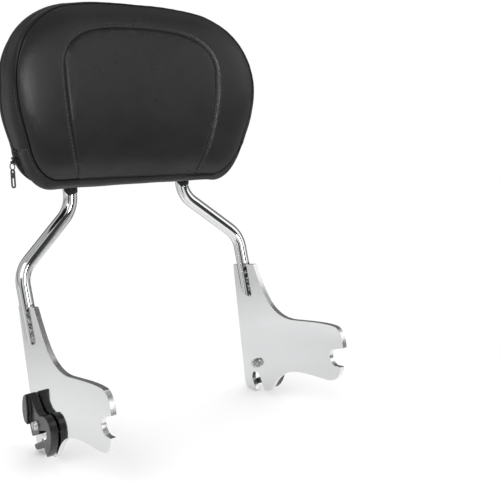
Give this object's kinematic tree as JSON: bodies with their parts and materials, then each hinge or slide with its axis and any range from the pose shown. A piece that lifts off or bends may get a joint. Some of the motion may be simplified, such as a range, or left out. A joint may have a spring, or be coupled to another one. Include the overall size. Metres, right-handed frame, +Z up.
{
  "type": "sissy bar",
  "caption": "Detachable passenger backrest: a bent chrome hoop on slotted side plates with turning latches, under a zip-on padded cover.",
  "frame": {"origin": "midway between the side plates, at the centre of the front docking seats", "axes": "+X across the motorbike to the right plate, -Y forward, the way the pad faces, +Z up, as the backrest stands when docked"},
  "size_m": [0.3322, 0.2578, 0.4949],
  "materials": {
    "chrome": "bright chrome plating on tube",
    "chrome_plate": "bright chrome plating on flat plate",
    "weld": "rough plated weld bead",
    "black_moulding": "satin black moulding",
    "zinc_steel": "bright plated fastener",
    "leatherette": "smooth black leatherette",
    "leatherette_side": "smooth black leatherette",
    "foam": "cut foam",
    "board": "plywood",
    "zip_black": "coil zip",
    "zip_metal": "black enamelled metal"
  },
  "bodies": {
    "frame": {"hoop_tube": "chrome", "side_plate_left": "chrome_plate", "side_plate_right": "chrome_plate", "weld_beads_left": "weld", "weld_beads_right": "weld", "latch_bush_left": "zinc_steel", "latch_bush_right": "zinc_steel", "latch_screw_left": "zinc_steel", "latch_screw_right": "zinc_steel", "latch_spring_washer_left": "zinc_steel", "latch_spring_washer_right": "zinc_steel", "latch_washer_left": "zinc_steel", "latch_washer_right": "zinc_steel", "latch_nut_left": "zinc_steel", "latch_nut_right": "zinc_steel", "pad_centre_panel": "leatherette", "pad_arch_panel": "leatherette", "pad_gusset": "leatherette_side", "pad_back_cover": "leatherette_side", "pad_foam": "foam", "pad_board": "board", "tube_saddles": "zinc_steel", "saddle_screws": "zinc_steel", "zip_chain": "zip_black", "zip_slider": "zip_metal"},
    "latch_left_lever": {"latch_lever_left": "black_moulding"},
    "latch_right_lever": {"latch_lever_right": "black_moulding"},
    "zip_tab": {"zip_pull": "zip_metal"}
  },
  "joints": [
    {"name": "latch_left", "type": "hinge", "parent": "frame", "child": "latch_left_lever", "pos_m": [-0.1574, 0.1488, -0.0529], "axis": [1, 0, 0], "range_deg": [-70, 0]},
    {"name": "latch_right", "type": "hinge", "parent": "frame", "child": "latch_right_lever", "pos_m": [0.1574, 0.1488, -0.0529], "axis": [1, 0, 0], "range_deg": [-70, 0]},
    {"name": "zip_pull_swing", "type": "hinge", "parent": "frame", "child": "zip_tab", "pos_m": [-0.14533, 0.20821, 0.23017], "axis": [0, 0.9965, -0.0837], "range_deg": [-20, 100]}
  ]
}
